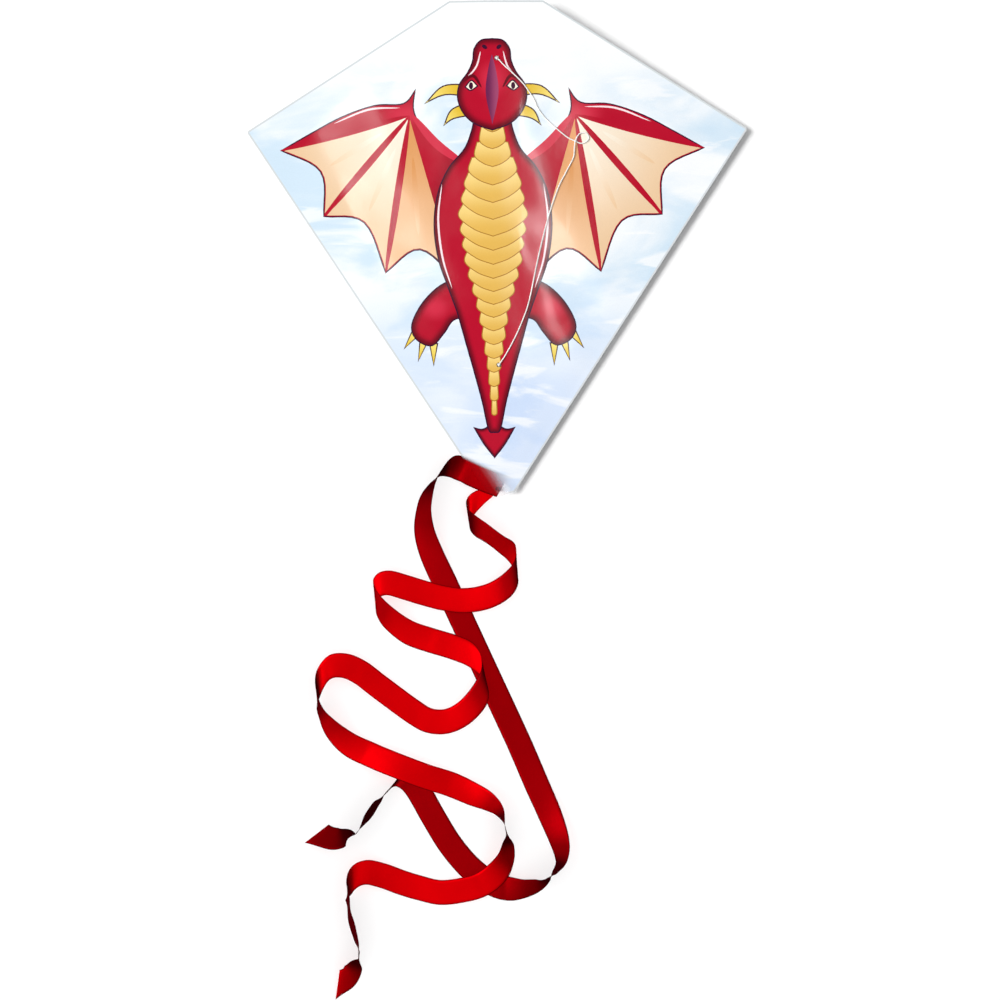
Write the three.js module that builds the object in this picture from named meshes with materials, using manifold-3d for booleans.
// A child's diamond kite with two ribbon tails, lying on its back on the floor, print side up.
// Units are millimetres. X runs across the kite, Y points to its nose, Z is up, and the floor is z = 0.
import * as THREE from 'three';
import { mergeVertices } from 'three/addons/utils/BufferGeometryUtils.js';
import Module from 'manifold-3d';

const manifoldLibrary = await Module();
manifoldLibrary.setup();

// ---------------------------------------------------------------------------------------------
// Driving dimensions

// Sail outline: a diamond with a cut-off nose and a blunt, slightly slanted tail corner.
const NOSE_Y = 313;
const NOSE_HALF_WIDTH = 59;
const CROSS_Y = 152;
const WING_X = 316;
const WING_ROUNDING = 3.5;
const TAIL_CORNERS = [[-12.5, -313], [19, -304.4]];
const FILM_THICKNESS = 0.4;

// The film is folded along the spine, and stands highest where the two rods cross.
const ROD_RADIUS = 2;
const SPREADER_Z = 3.2;
const SPINE_Z_AT_CROSS = 13.2;
const SPINE_SLOPE = 0.02325;
const FILM_OVER_SPINE = 5;
const FILM_FOLD_SLOPE = 0.0307;

const SPREADER_HALF_LENGTH = 303;
const SPINE_NOSE_END = 295;
const SPINE_TAIL_END = -268;
const GAP = 0.3;

const NOCK = { radius: 3.2, bore: 2.3, boreDepth: 8.3, length: 16, slotDepth: 5.5, slotWidth: 1.2 };
const TAB_THICKNESS = 0.5;
const HEM = { width: 8, inset: 1, thickness: 0.5 };
const STRAP_PLACES = { front: 80, middle: -50, rear: -215 };
const RIVET = { shaft: 1.5, head: 2.6, hole: 1.8 };
const TAIL_RIVET_AT = [-3, -300];
const TAIL_RIVET = { low: 2.7, high: 7.2, head: 0.6 };

const BRIDLE_HOLE_RADIUS = 3;
const BRIDLE_FRONT_Y = 241;
const BRIDLE_REAR_Y = -144;
const BRIDLE_LINE_RADIUS = 0.9;
const BRIDLE_KNOT_RADIUS = 2;
const BRIDLE_KNOT_OVER_SPINE = 6.8;
const TOW_KNOT = [98.2, 136.4];

const RIBBON_WIDTH = 31.5;
const RIBBON_THICKNESS = 0.4;
const RIBBON_SLANT = 14;
const RIBBON_SLANT_LENGTH = 45;

const SPINE_TILT = Math.atan(SPINE_SLOPE);
const ROUND_SEGMENTS = 24;

// ---------------------------------------------------------------------------------------------
// Materials

function material(color, roughness, metalness = 0) {
  return new THREE.MeshStandardMaterial({ color, roughness, metalness });
}

const filmMaterial = () => material(0xdfe9f5, 0.3);
const hemMaterial = () => material(0xe6e8ea, 0.4);
const rodMaterial = () => material(0xe9e7e0, 0.45);
const plasticMaterial = () => material(0xdddcd8, 0.45);
const metalMaterial = () => material(0xb9bcc0, 0.3, 0.9);
const lineMaterial = () => material(0xf4f2ee, 0.7);
const ringMaterial = () => material(0xf2f2f2, 0.35);
const darkRibbonMaterial = () => material(0x960000, 0.35);
const brightRibbonMaterial = () => material(0xd20000, 0.35);

// ---------------------------------------------------------------------------------------------
// Helpers

function addPiece(parent, name, geometry, pieceMaterial) {
  const mesh = new THREE.Mesh(geometry, pieceMaterial);
  mesh.name = name;
  parent.add(mesh);
  return mesh;
}

function solidOf(geometry) {
  const bare = geometry.clone();
  bare.deleteAttribute('normal');
  bare.deleteAttribute('uv');
  const merged = mergeVertices(bare, 1e-4);
  return new manifoldLibrary.Manifold(new manifoldLibrary.Mesh({
    numProp: 3,
    vertProperties: new Float32Array(merged.attributes.position.array),
    triVerts: new Uint32Array(merged.index.array),
  }));
}

function geometryOf(solid) {
  const mesh = solid.getMesh();
  return indexedGeometry(mesh.vertProperties, mesh.triVerts);
}

function indexedGeometry(positions, triangles) {
  const geometry = new THREE.BufferGeometry();
  geometry.setAttribute('position', new THREE.Float32BufferAttribute(positions, 3));
  geometry.setIndex(Array.from(triangles));
  geometry.computeVertexNormals();
  return geometry;
}

function cut(geometry, ...tools) {
  return geometryOf(tools.reduce((solid, tool) => solid.subtract(solidOf(tool)), solidOf(geometry)));
}

// An upright round bar from z = low to z = high.
function uprightBar(radius, low, high, x = 0, y = 0) {
  return new THREE.CylinderGeometry(radius, radius, high - low, ROUND_SEGMENTS)
    .rotateX(Math.PI / 2)
    .translate(x, y, (low + high) / 2);
}

// A round bar along Y, centred on x = 0 and z = 0.
function barAlongY(radius, from, to) {
  return new THREE.CylinderGeometry(radius, radius, to - from, ROUND_SEGMENTS)
    .translate(0, (from + to) / 2, 0);
}

// A flat outline in X and Z pushed along Y, from one side of y = 0 to the other.
function extrudeAlongY(shape, width) {
  return new THREE.ExtrudeGeometry(shape, { depth: width, bevelEnabled: false, curveSegments: 16 })
    .rotateX(Math.PI / 2)
    .translate(0, width / 2, 0);
}

// A thin plate over flat polygons that share the edges they meet at.
// Its underside follows bottomZ(x, y), which is flat over each polygon.
function plate(polygons, bottomZ, thickness) {
  const positions = [];
  const triangles = [];
  const places = new Map();
  const cornerAt = ([x, y]) => {
    const key = x.toFixed(4) + ',' + y.toFixed(4);
    if (!places.has(key)) {
      places.set(key, positions.length / 3);
      positions.push(x, y, bottomZ(x, y), x, y, bottomZ(x, y) + thickness);
    }
    return places.get(key);
  };
  const edges = new Set();
  for (const polygon of polygons) {
    const corners = polygon.map(cornerAt);
    corners.forEach((corner, i) => edges.add(corner + '>' + corners[(i + 1) % corners.length]));
    const outline = polygon.map(([x, y]) => new THREE.Vector2(x, y));
    for (const [a, b, c] of THREE.ShapeUtils.triangulateShape(outline, [])) {
      triangles.push(corners[a] + 1, corners[b] + 1, corners[c] + 1);
      triangles.push(corners[c], corners[b], corners[a]);
    }
  }
  for (const edge of edges) {
    const [a, b] = edge.split('>').map(Number);
    if (edges.has(b + '>' + a)) continue;
    triangles.push(a, b, b + 1);
    triangles.push(a, b + 1, a + 1);
  }
  return indexedGeometry(positions, triangles);
}

// A round line of one radius along a smooth curve through the points.
function lineAlong(points, radius, steps) {
  const section = new THREE.Shape();
  section.absarc(0, 0, radius, 0, 2 * Math.PI);
  return new THREE.ExtrudeGeometry(section, {
    steps,
    curveSegments: 4,
    extrudePath: new THREE.CatmullRomCurve3(points),
  });
}

// ---------------------------------------------------------------------------------------------
// Film levels and outline

const spineZ = (y) => SPINE_Z_AT_CROSS + SPINE_SLOPE * (y - CROSS_Y);
const filmBottom = (x, y) => spineZ(y) + FILM_OVER_SPINE - FILM_FOLD_SLOPE * Math.abs(x);
const filmTop = (x, y) => filmBottom(x, y) + FILM_THICKNESS;
const underFilm = (drop) => (x, y) => filmBottom(x, y) - drop;

// Points of a rounded corner between the edges that run to it from one point and on to the next.
function roundedCorner(from, corner, to, radius) {
  const at = new THREE.Vector2(...corner);
  const back = new THREE.Vector2(...from).sub(at).normalize();
  const ahead = new THREE.Vector2(...to).sub(at).normalize();
  const halfAngle = Math.acos(back.dot(ahead)) / 2;
  const reach = radius / Math.tan(halfAngle);
  const start = at.clone().addScaledVector(back, reach);
  const end = at.clone().addScaledVector(ahead, reach);
  const curve = new THREE.QuadraticBezierCurve(start, at, end);
  return curve.getPoints(6).map((point) => [point.x, point.y]);
}

// Half of a round hole centred on the fold, on the side x >= 0, from its nose end to its tail end.
function halfHole(y) {
  const points = [];
  for (let i = 0; i <= 8; i += 1) {
    const angle = Math.PI / 2 - Math.PI * i / 8;
    points.push([BRIDLE_HOLE_RADIUS * Math.cos(angle), y + BRIDLE_HOLE_RADIUS * Math.sin(angle)]);
  }
  points[0][0] = 0;
  points[points.length - 1][0] = 0;
  return points;
}

const noseCorner = [NOSE_HALF_WIDTH, NOSE_Y];
const wingCorner = [WING_X, CROSS_Y];
const mirrored = (points) => points.map(([x, y]) => [-x, y]).reverse();
const [tailLeft, tailRight] = TAIL_CORNERS;
const tailShare = tailLeft[0] / (tailLeft[0] - tailRight[0]);
const tailOnFold = [0, tailLeft[1] + tailShare * (tailRight[1] - tailLeft[1])];
const noseOnFold = [0, NOSE_Y];

// Both halves run anticlockwise, and share the fold's points.
const foldHoles = [...halfHole(BRIDLE_FRONT_Y), ...halfHole(BRIDLE_REAR_Y)];
const rightHalf = [
  noseOnFold,
  ...foldHoles,
  tailOnFold,
  tailRight,
  ...roundedCorner(tailRight, wingCorner, noseCorner, WING_ROUNDING),
  noseCorner,
];
const leftHalf = [
  noseOnFold,
  ...mirrored([noseCorner]),
  ...mirrored(roundedCorner([-tailLeft[0], tailLeft[1]], wingCorner, noseCorner, WING_ROUNDING)),
  tailLeft,
  tailOnFold,
  ...mirrored(foldHoles),
];

// ---------------------------------------------------------------------------------------------
// Sail, hems

function sailGeometry() {
  return plate([rightHalf, leftHalf], filmBottom, FILM_THICKNESS);
}

// A hem under one edge of the film, from one corner to the next, with the film on its left.
function hemOutline(from, to, trimFrom, trimTo) {
  const start = new THREE.Vector2(...from);
  const along = new THREE.Vector2(...to).sub(start).normalize();
  const inward = new THREE.Vector2(-along.y, along.x);
  const length = start.distanceTo(new THREE.Vector2(...to));
  const corner = (distance, depth) => {
    const point = start.clone().addScaledVector(along, distance).addScaledVector(inward, depth);
    return [point.x, point.y];
  };
  const inner = HEM.inset + HEM.width;
  return [
    corner(trimFrom, HEM.inset),
    corner(length - trimTo, HEM.inset),
    corner(length - trimTo, inner),
    corner(trimFrom, inner),
  ];
}

function hemGeometry(polygons) {
  return plate(polygons, underFilm(GAP + HEM.thickness), HEM.thickness);
}

function noseHem() {
  const halfWidth = NOSE_HALF_WIDTH - 2;
  const outer = NOSE_Y - HEM.inset;
  const inner = outer - HEM.width;
  const right = [[0, outer], [0, inner], [halfWidth, inner], [halfWidth, outer]];
  return hemGeometry([right, mirrored(right)]);
}

function addSail(kite) {
  addPiece(kite, 'sail', sailGeometry(), filmMaterial());
  addPiece(kite, 'hem_nose', noseHem(), hemMaterial());
  const upperRight = hemOutline(wingCorner, noseCorner, 22, 6);
  const lowerRight = hemOutline(tailRight, wingCorner, 5, 11);
  const lowerLeft = hemOutline([-tailLeft[0], tailLeft[1]], wingCorner, 6, 11);
  addPiece(kite, 'hem_upper_right', hemGeometry([upperRight]), hemMaterial());
  addPiece(kite, 'hem_upper_left', hemGeometry([mirrored(upperRight)]), hemMaterial());
  addPiece(kite, 'hem_lower_right', hemGeometry([lowerRight]), hemMaterial());
  addPiece(kite, 'hem_lower_left', hemGeometry([mirrored(lowerLeft)]), hemMaterial());
}

// ---------------------------------------------------------------------------------------------
// Rods, nocks

// A nock along +Y: the rod enters at y = 0, and the flat slot is open at its tip and to both sides.
function nockGeometry() {
  const chamfer = 0.8;
  const profile = [
    [0, 0],
    [NOCK.radius, 0],
    [NOCK.radius, NOCK.length - chamfer],
    [NOCK.radius - chamfer, NOCK.length],
    [0, NOCK.length],
  ].map(([x, y]) => new THREE.Vector2(x, y));
  const body = new THREE.LatheGeometry(profile, ROUND_SEGMENTS);
  const bore = barAlongY(NOCK.bore, -1, NOCK.boreDepth);
  const slotLength = NOCK.slotDepth + 1;
  const slot = new THREE.BoxGeometry(3 * NOCK.radius, slotLength, NOCK.slotWidth)
    .translate(0, NOCK.length + 1 - slotLength / 2, 0);
  return cut(body, bore, slot);
}

const nockStart = (rodEnd) => rodEnd - (NOCK.boreDepth - GAP);
const nockTip = (rodEnd) => nockStart(rodEnd) + NOCK.length;

function addSpreader(spreader) {
  const rod = barAlongY(ROD_RADIUS, -SPREADER_HALF_LENGTH, SPREADER_HALF_LENGTH).rotateZ(-Math.PI / 2);
  addPiece(spreader, 'spreader', rod, rodMaterial());
  const start = nockStart(SPREADER_HALF_LENGTH);
  const right = nockGeometry().rotateZ(-Math.PI / 2).translate(start, 0, 0);
  const left = nockGeometry().rotateZ(Math.PI / 2).translate(-start, 0, 0);
  addPiece(spreader, 'nock_right', right, plasticMaterial());
  addPiece(spreader, 'nock_left', left, plasticMaterial());
}

// The spine group has its origin on the spine over the cross, and its Y axis along the spine.
function addSpine(spine) {
  const noseEnd = SPINE_NOSE_END - CROSS_Y;
  const tailEnd = SPINE_TAIL_END - CROSS_Y;
  addPiece(spine, 'spine', barAlongY(ROD_RADIUS, tailEnd, noseEnd), rodMaterial());
  const nose = nockGeometry().translate(0, nockStart(noseEnd), 0);
  const tail = nockGeometry().rotateZ(Math.PI).translate(0, -nockStart(-tailEnd), 0);
  addPiece(spine, 'nock_nose', nose, plasticMaterial());
  addPiece(spine, 'nock_tail', tail, plasticMaterial());
}

// A strap that holds the spine up against the film: a U round the rod with a flange on each side.
function strapGeometry() {
  const thickness = 0.5;
  const inside = ROD_RADIUS + GAP;
  const outside = inside + thickness;
  const flange = 12;
  const top = FILM_OVER_SPINE - GAP;
  const flangeTop = top - FILM_FOLD_SLOPE * flange;
  const shape = new THREE.Shape();
  shape.moveTo(-flange, flangeTop - thickness);
  shape.lineTo(-outside, top - thickness);
  shape.lineTo(-outside, 0);
  shape.absarc(0, 0, outside, Math.PI, 2 * Math.PI, false);
  shape.lineTo(outside, top - thickness);
  shape.lineTo(flange, flangeTop - thickness);
  shape.lineTo(flange, flangeTop);
  shape.lineTo(inside, top - FILM_FOLD_SLOPE * inside);
  shape.lineTo(inside, 0);
  shape.absarc(0, 0, inside, 0, -Math.PI, true);
  shape.lineTo(-inside, top - FILM_FOLD_SLOPE * inside);
  shape.lineTo(-flange, flangeTop);
  shape.closePath();
  return extrudeAlongY(shape, 12);
}

function addStraps(spine) {
  for (const [place, y] of Object.entries(STRAP_PLACES)) {
    const strap = strapGeometry().translate(0, y - CROSS_Y, 0);
    addPiece(spine, 'spine_strap_' + place, strap, hemMaterial());
  }
}

// ---------------------------------------------------------------------------------------------
// Corner tabs

// A tab in side view: a flange under the film, a web down past the nock's tip, and a tongue back into
// its slot. Distances run outwards from the kite's middle, and heights are row heights.
function tabOutline({ inner, tip, filmHeight, slotHeight, tail = [] }) {
  const top = (at) => filmHeight(at) - GAP;
  const web = tip + 0.4;
  const outer = web + TAB_THICKNESS;
  const half = TAB_THICKNESS / 2;
  const tongue = tip - NOCK.slotDepth + 0.6;
  return [
    [inner, top(inner)],
    [inner, top(inner) - TAB_THICKNESS],
    [web, top(web) - TAB_THICKNESS],
    [web, slotHeight(web) + half],
    [tongue, slotHeight(tongue) + half],
    [tongue, slotHeight(tongue) - half],
    [outer, slotHeight(outer) - half],
    [outer, top(outer) - TAB_THICKNESS],
    ...tail,
    [outer, top(outer)],
  ];
}

function tabGeometry(outline, width) {
  const shape = new THREE.Shape(outline.map(([at, z]) => new THREE.Vector2(at, z)));
  return new THREE.ExtrudeGeometry(shape, { depth: width, bevelEnabled: false })
    .rotateX(Math.PI / 2)
    .translate(0, width / 2, 0);
}

function addCornerTabs(kite) {
  const wingTabWidth = 3.4;
  const spineTabWidth = 8;
  const wing = tabOutline({
    inner: 286,
    tip: nockTip(SPREADER_HALF_LENGTH),
    filmHeight: (x) => filmBottom(x, CROSS_Y),
    slotHeight: () => SPREADER_Z,
  });
  const right = tabGeometry(wing, wingTabWidth).translate(0, CROSS_Y, 0);
  const left = tabGeometry(wing, wingTabWidth).rotateZ(Math.PI).translate(0, CROSS_Y, 0);
  addPiece(kite, 'corner_tab_right', right, plasticMaterial());
  addPiece(kite, 'corner_tab_left', left, plasticMaterial());

  // The film falls to each side of the fold, so the wider tabs sit a little lower.
  const foldDrop = FILM_FOLD_SLOPE * spineTabWidth / 2;
  const nose = tabOutline({
    inner: 272,
    tip: nockTip(SPINE_NOSE_END),
    filmHeight: (y) => filmBottom(0, y) - foldDrop,
    slotHeight: spineZ,
  });
  addPiece(kite, 'corner_tab_nose', tabGeometry(nose, spineTabWidth).rotateZ(Math.PI / 2), plasticMaterial());

  // The tail tab runs on past the nock, a little lower, and carries the tail rivet.
  const tailHeight = (at) => filmBottom(0, -at) - foldDrop;
  const lowered = 1.3;
  const tailReach = 306;
  const tailStep = 285;
  const tail = tabOutline({
    inner: 242,
    tip: nockTip(-SPINE_TAIL_END),
    filmHeight: tailHeight,
    slotHeight: (at) => spineZ(-at),
    tail: [
      [tailStep, tailHeight(tailStep) - lowered - TAB_THICKNESS],
      [tailReach, tailHeight(tailReach) - lowered - TAB_THICKNESS],
      [tailReach, tailHeight(tailReach) - lowered],
      [tailStep, tailHeight(tailStep) - lowered],
    ],
  });
  const tailTab = tabGeometry(tail, spineTabWidth).rotateZ(-Math.PI / 2);
  const hole = uprightBar(RIVET.hole, 0, SPINE_Z_AT_CROSS, ...TAIL_RIVET_AT);
  addPiece(kite, 'corner_tab_tail', cut(tailTab, hole), plasticMaterial());
}

// ---------------------------------------------------------------------------------------------
// Cross connector and rivets

const CLIP = { half: 4.5, bore: 2.5, lip: 1.7, length: 14 };
const WEB = { low: 6.45, split: 8, high: 9.9 };
const SWIVEL = { low: 5.55, high: 10.8, head: 0.6 };

// A block with a bore that a rod snaps into from its open side, seen along the rod.
function snapClip(rodZ, webZ, lipZ) {
  const side = Math.sign(lipZ - webZ);
  const halfOpening = Math.asin(CLIP.lip / CLIP.bore);
  const first = side * Math.PI / 2 - side * halfOpening;
  const last = side * Math.PI / 2 + side * halfOpening;
  const shape = new THREE.Shape();
  shape.moveTo(-CLIP.half, webZ);
  shape.lineTo(CLIP.half, webZ);
  shape.lineTo(CLIP.half, lipZ);
  shape.lineTo(CLIP.lip, lipZ);
  shape.absarc(0, rodZ, CLIP.bore, first, last, side > 0);
  shape.lineTo(-CLIP.lip, lipZ);
  shape.lineTo(-CLIP.half, lipZ);
  shape.closePath();
  return extrudeAlongY(shape, CLIP.length);
}

// A rivet on an upright axis, from the low side of its lower head to the high side of its upper head.
function rivetGeometry({ low, high, head }, x = 0, y = 0) {
  const profile = [
    [0, low],
    [RIVET.head, low],
    [RIVET.head, low + head],
    [RIVET.shaft, low + head],
    [RIVET.shaft, high - head],
    [RIVET.head, high - head],
    [RIVET.head, high],
    [0, high],
  ].map(([r, z]) => new THREE.Vector2(r, z));
  return new THREE.LatheGeometry(profile, ROUND_SEGMENTS).rotateX(Math.PI / 2).translate(x, y, 0);
}

function addConnector(kite, spreader) {
  const recess = RIVET.head + GAP;
  const top = SPINE_Z_AT_CROSS + 2.1;
  const spineClip = cut(
    snapClip(SPINE_Z_AT_CROSS, WEB.split + GAP, top),
    uprightBar(RIVET.hole, WEB.split, WEB.high + 1),
    uprightBar(recess, WEB.high, SPINE_Z_AT_CROSS),
  ).translate(0, CROSS_Y, 0);
  addPiece(kite, 'spine_clip', spineClip, plasticMaterial());
  addPiece(kite, 'swivel_rivet', rivetGeometry(SWIVEL, 0, CROSS_Y), metalMaterial());

  const spreaderClip = cut(
    snapClip(SPREADER_Z, WEB.split, 0).rotateZ(Math.PI / 2),
    uprightBar(RIVET.hole, WEB.low - 1, WEB.split + 1),
    uprightBar(recess, SPREADER_Z, WEB.low),
  ).translate(0, 0, -SPREADER_Z);
  addPiece(spreader, 'spreader_clip', spreaderClip, plasticMaterial());
}

// ---------------------------------------------------------------------------------------------
// Bridle

// Points of the line: x, y, and the height of its centre over the film.
const UPPER_LEG = [
  [1.8, 239.6, 1.5], [9, 232, 1.3], [20, 222, 1.3], [32, 210, 1.3], [39.5, 200, 1.3], [46.5, 189, 1.3],
  [51, 178.5, 1.3], [60, 166, 1.3], [74, 153, 1.3], [88, 141.5, 1.4], [95.6, 137.2, 1.6],
];
const TOW_LOOP = [
  [100.4, 134.6, 1.6], [105, 133.6, 1.5], [111, 135.2, 1.3], [115, 139.5, 1.3], [113.5, 145, 1.3],
  [108, 147.2, 1.3], [102.5, 144.6, 1.4], [99.4, 139.2, 1.6],
];
const LOWER_LEG = [
  [97.9, 133.6, 1.6], [95.7, 116, 1.3], [87, 99, 1.3], [76.5, 78.5, 1.3], [65, 46, 1.3], [58, 21, 1.3],
  [49, -16, 1.3], [39, -63, 1.3], [30, -89, 1.3], [19.5, -112, 1.3], [9, -131, 1.3], [1.8, -142.2, 1.5],
];

const overFilm = ([x, y, height]) => new THREE.Vector3(x, y, filmTop(x, y) + height);

function knotGeometry(radius, x, y, z) {
  return new THREE.SphereGeometry(radius, 16, 10).rotateX(Math.PI / 2).translate(x, y, z);
}

function addBridle(bridle) {
  const ends = { front: BRIDLE_FRONT_Y, rear: BRIDLE_REAR_Y };
  for (const [place, y] of Object.entries(ends)) {
    const knot = knotGeometry(BRIDLE_KNOT_RADIUS, 0, y, spineZ(y) + BRIDLE_KNOT_OVER_SPINE);
    addPiece(bridle, 'bridle_knot_' + place, knot, lineMaterial());
  }
  const towHeight = filmTop(...TOW_KNOT) + 2.4;
  addPiece(bridle, 'tow_knot', knotGeometry(BRIDLE_KNOT_RADIUS, ...TOW_KNOT, towHeight), lineMaterial());
  const pieces = { bridle_upper_leg: UPPER_LEG, bridle_lower_leg: LOWER_LEG, tow_loop: TOW_LOOP };
  for (const [name, points] of Object.entries(pieces)) {
    const steps = name === 'tow_loop' ? 24 : 60;
    addPiece(bridle, name, lineAlong(points.map(overFilm), BRIDLE_LINE_RADIUS, steps), lineMaterial());
  }
}

// At each end: a ring under the film round the hole, and the tie of the line round the spine.
function addBridleFittings(spine) {
  const tieRadius = 3.6;
  const lineRadius = 0.8;
  const ringOuter = 6;
  const ringThickness = 0.5;
  const low = FILM_OVER_SPINE - GAP - ringThickness;
  const ends = { front: BRIDLE_FRONT_Y, rear: BRIDLE_REAR_Y };
  for (const [place, y] of Object.entries(ends)) {
    const ring = cut(
      uprightBar(ringOuter, low, low + ringThickness, 0, y - CROSS_Y),
      uprightBar(BRIDLE_HOLE_RADIUS, low - 1, low + ringThickness + 1, 0, y - CROSS_Y),
    );
    const tie = new THREE.TorusGeometry(tieRadius, lineRadius, 8, ROUND_SEGMENTS)
      .rotateX(Math.PI / 2)
      .translate(0, y - CROSS_Y, 0);
    addPiece(spine, 'bridle_ring_' + place, ring, ringMaterial());
    addPiece(spine, 'bridle_tie_' + place, tie, lineMaterial());
  }
}

// ---------------------------------------------------------------------------------------------
// Ribbon tails

// Stations of a ribbon: x, y, clearance of its lower edge, direction of its width in plan, and the
// tilt of its width out of level, both in degrees.
const RIBBON_DARK = [
  [4, -297, 4.8, 60, 0], [-12, -291, 4.8, 60, 0], [-31, -283, 3.4, 62, 0], [-47, -275, 1.2, 68, 0],
  [-61, -272, 0.6, 76, 32], [-74, -280, 0.6, 70, 74], [-84, -292, 0.6, 10, 74], [-92, -309, 0.6, -8, 60],
  [-96, -329, 0.6, -4, 50], [-95, -354, 0.6, 6, 32], [-86, -383, 0.6, 16, 14], [-69, -421, 0.6, 22, 2],
  [-44, -476, 0.6, 24, 0], [-14, -542, 0.6, 24, 0], [21, -619, 0.6, 24, 0], [43, -671, 0.6, 22, 4],
  [61, -713, 0.6, 18, 16], [72, -745, 0.6, 8, 36], [74, -767, 0.6, -4, 62], [68, -780, 0.6, -20, 82],
  [58, -792, 0.6, 130, 74], [44, -800, 0.6, 112, 50], [25, -805, 0.6, 98, 30], [3, -805, 0.6, 88, 0],
  [-19, -796, 0.6, 70, 0], [-43, -777, 0.6, 45, 0], [-66, -749, 0.6, 32, 0], [-86, -716, 0.6, 26, 0],
  [-105, -682, 0.6, 28, 0], [-117, -668, 0.6, 36, -3], [-129, -665, 0.6, 50, -8],
  [-144, -680, 0.6, 40, -84], [-157, -694, 0.6, -40, -74], [-169, -712, 0.6, -45, -72],
  [-183, -732, 0.6, -60, -88], [-197, -738, 0.6, 100, -55], [-213, -740, 0.6, 92, -34],
  [-234, -734, 0.6, 85, -20],
];
const RIBBON_BRIGHT = [
  [0, -299, 3.8, 50, 0], [-13, -306, 3.8, 62, 0], [-27, -315, 3.4, 78, 0], [-38, -324, 3.2, 92, 0],
  [-40, -336, 1.4, 98, 20], [-32, -346, 0.6, 88, 34], [-16, -357, 0.6, 68, 47], [0, -369, 0.6, 64, 48],
  [14, -380, 1.4, 78, 34], [21, -394, 6, 92, 6], [19, -409, 11, 98, 0], [6, -424, 11, 104, 0],
  [-16, -436, 7, 100, 0], [-44, -441, 4, 91, 0], [-71, -438, 4, 81, 0], [-97, -431, 6, 75, 0],
  [-119, -424, 9, 74, 0], [-140, -418, 11, 82, 0], [-153, -421, 10, 92, 0], [-159, -432, 6, 96, 2],
  [-154, -447, 1.6, 84, 22], [-139, -464, 0.6, 66, 24], [-116, -481, 0.6, 68, 10],
  [-89, -491, 0.8, 72, 0], [-63, -499, 1.4, 76, 0], [-39, -509, 3.5, 82, 0], [-24, -524, 7, 96, 0],
  [-20, -542, 11, 107, 0], [-28, -562, 11, 120, 0], [-46, -582, 7, 114, 0], [-67, -593, 4, 97, 0],
  [-89, -593, 3, 79, 0], [-110, -582, 3, 62, 0], [-154, -549, 5, 55, 0], [-177, -531, 8, 61, 0],
  [-197, -522, 10, 74, 0], [-216, -524, 10, 90, 0], [-229, -541, 8, 98, 4], [-232, -559, 4, 92, 48],
  [-228, -578, 1, 56, 64], [-214, -601, 0.6, 46, 40], [-192, -622, 0.6, 60, 12], [-163, -636, 4.5, 68, -3],
  [-130, -649, 9.5, 70, -7], [-97, -662, 8, 68, -3], [-65, -673, 3.4, 70, 0], [-38, -685, 0.6, 68, 14],
  [-15, -696, 0.6, 60, 38], [-1, -710, 0.6, 50, 66], [5, -731, 0.6, 110, 88], [7, -748, 0.6, 172, 62],
  [4, -767, 2, 150, 40], [-8, -786, 5, 134, 12], [-27, -800, 5.4, 116, 0], [-51, -807, 4, 100, 0],
  [-79, -810, 1.8, 90, 0], [-106, -804, 0.6, 80, 0], [-128, -797, 1.4, 74, 0], [-151, -788, 4, 74, 0],
  [-172, -783, 8, 84, 0], [-188, -790, 8, 94, 6], [-195, -805, 4, 92, 50], [-194, -823, 0.8, 20, 78],
  [-190, -846, 0.6, 12, 71], [-184, -870, 0.6, 8, 76], [-181, -886, 0.6, 60, 88],
  [-186, -900, 0.6, 150, 52], [-195, -915, 0.6, 134, 30], [-209, -925, 0.6, 125, 20],
];

// A uniform Catmull-Rom curve through all five numbers of the stations.
function smoothStations(stations, stepsPerSpan) {
  const count = stations.length;
  const reflected = (end, next) => end.map((value, k) => 2 * value - next[k]);
  const all = [
    reflected(stations[0], stations[1]),
    ...stations,
    reflected(stations[count - 1], stations[count - 2]),
  ];
  const result = [];
  for (let i = 1; i < count; i += 1) {
    for (let step = 0; step < stepsPerSpan; step += 1) {
      const t = step / stepsPerSpan;
      result.push(stations[0].map((_, k) => {
        const [a, b, c, d] = [all[i - 1][k], all[i][k], all[i + 1][k], all[i + 2][k]];
        return 0.5 * (2 * b + (c - a) * t + (2 * a - 5 * b + 4 * c - d) * t ** 2
          + (3 * b - a - 3 * c + d) * t ** 3);
      }));
    }
  }
  result.push(stations[count - 1]);
  return result;
}

// The strip's middle line and width directions. The middle rises with the tilt, so that the lower
// edge keeps its clearance.
function ribbonLine(stations, stepsPerSpan) {
  const rows = smoothStations(stations, stepsPerSpan);
  const widths = rows.map(([, , , azimuth, tilt]) => {
    const a = THREE.MathUtils.degToRad(azimuth);
    const t = THREE.MathUtils.degToRad(tilt);
    return new THREE.Vector3(Math.cos(a) * Math.cos(t), Math.sin(a) * Math.cos(t), Math.sin(t));
  });
  const middle = rows.map(([x, y, lift], i) => (
    new THREE.Vector3(x, y, lift + RIBBON_WIDTH / 2 * Math.abs(widths[i].z))
  ));
  const tangents = middle.map((_, i) => {
    const before = middle[Math.max(i - 1, 0)];
    const after = middle[Math.min(i + 1, middle.length - 1)];
    return after.clone().sub(before).normalize();
  });
  return { middle, widths, tangents };
}

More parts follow.
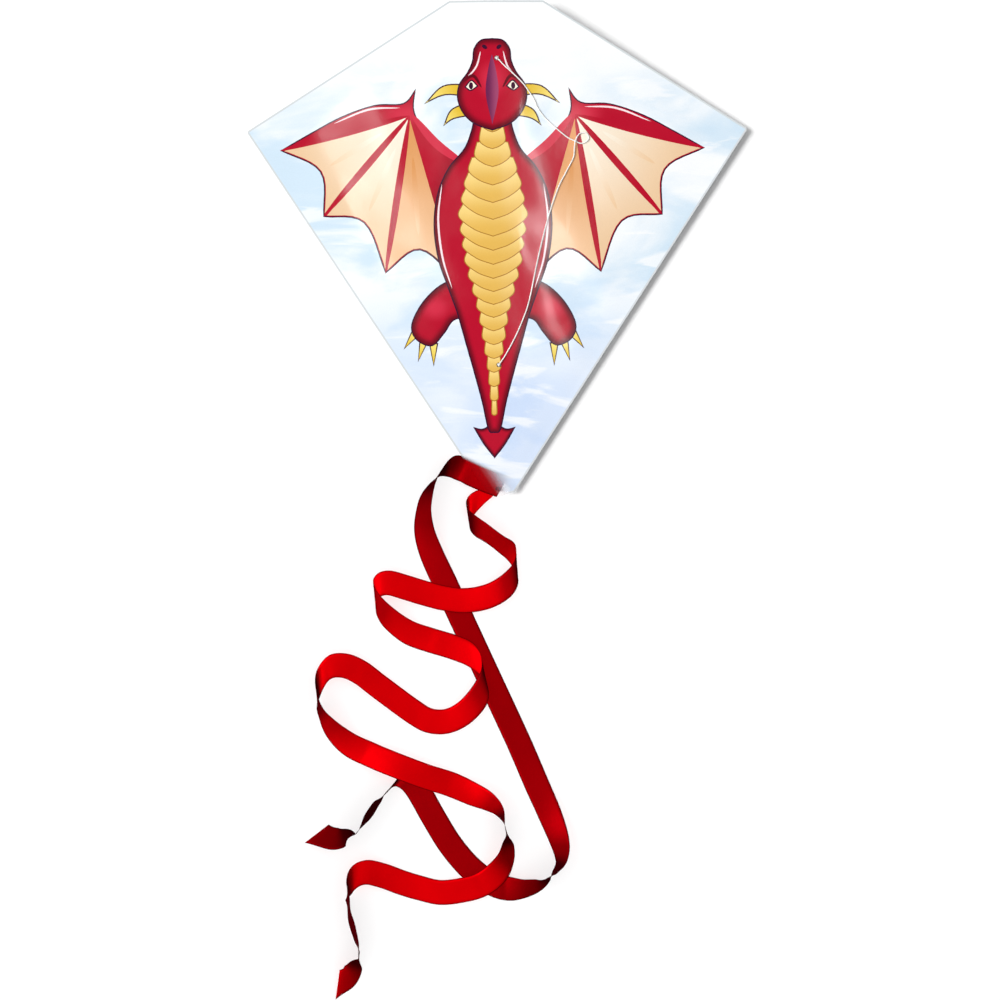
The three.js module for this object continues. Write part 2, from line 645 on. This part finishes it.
function ribbonGeometry(stations, stepsPerSpan) {
  const { middle, widths, tangents } = ribbonLine(stations, stepsPerSpan);
  const travelled = [0];
  for (let i = 1; i < middle.length; i += 1) {
    travelled.push(travelled[i - 1] + middle[i].distanceTo(middle[i - 1]));
  }
  const length = travelled[travelled.length - 1];
  const positions = [];
  middle.forEach((point, i) => {
    const share = THREE.MathUtils.clamp((travelled[i] - length) / RIBBON_SLANT_LENGTH + 1, 0, 1);
    const slant = RIBBON_SLANT * share ** 1.5;
    const along = new THREE.Vector3(tangents[i].x, tangents[i].y, 0).normalize();
    const half = widths[i].clone().multiplyScalar(RIBBON_WIDTH / 2).addScaledVector(along, -slant);
    const normal = widths[i].clone().cross(tangents[i]).normalize();
    for (const [side, face] of [[-1, -1], [1, -1], [1, 1], [-1, 1]]) {
      const corner = point.clone()
        .addScaledVector(half, side)
        .addScaledVector(normal, face * RIBBON_THICKNESS / 2);
      positions.push(corner.x, corner.y, corner.z);
    }
  });
  const triangles = [0, 1, 2, 0, 2, 3];
  for (let i = 0; i < middle.length - 1; i += 1) {
    for (let k = 0; k < 4; k += 1) {
      const a = 4 * i + k;
      const b = 4 * i + (k + 1) % 4;
      // both broad faces split along the same diagonal, so a twist leaves them parallel
      if (k === 2) {
        triangles.push(a, a + 4, b);
        triangles.push(b, a + 4, b + 4);
      } else {
        triangles.push(a, a + 4, b + 4);
        triangles.push(a, b + 4, b);
      }
    }
  }
  const end = 4 * (middle.length - 1);
  triangles.push(end, end + 2, end + 1, end, end + 3, end + 2);
  return indexedGeometry(positions, triangles);
}

function addTails(tail) {
  const hole = uprightBar(RIVET.hole, 0, SPINE_Z_AT_CROSS, ...TAIL_RIVET_AT);
  const dark = cut(ribbonGeometry(RIBBON_DARK, 2), hole);
  const bright = cut(ribbonGeometry(RIBBON_BRIGHT, 2), hole);
  addPiece(tail, 'tail_ribbon_dark', dark, darkRibbonMaterial());
  addPiece(tail, 'tail_ribbon_bright', bright, brightRibbonMaterial());
}

// ---------------------------------------------------------------------------------------------
// Assembly

const kite = new THREE.Group();
const spine = new THREE.Group();
const spreader = new THREE.Group();
const bridle = new THREE.Group();
const tail = new THREE.Group();
spine.position.set(0, CROSS_Y, SPINE_Z_AT_CROSS);
spine.rotation.x = SPINE_TILT;
spreader.position.set(0, CROSS_Y, SPREADER_Z);

addSail(kite);
addSpine(spine);
addStraps(spine);
addBridleFittings(spine);
addCornerTabs(kite);
addConnector(kite, spreader);
addPiece(kite, 'tail_rivet', rivetGeometry(TAIL_RIVET, ...TAIL_RIVET_AT), metalMaterial());
addSpreader(spreader);
addBridle(bridle);
addTails(tail);

kite.add(spine, spreader, bridle, tail);

export default kite;
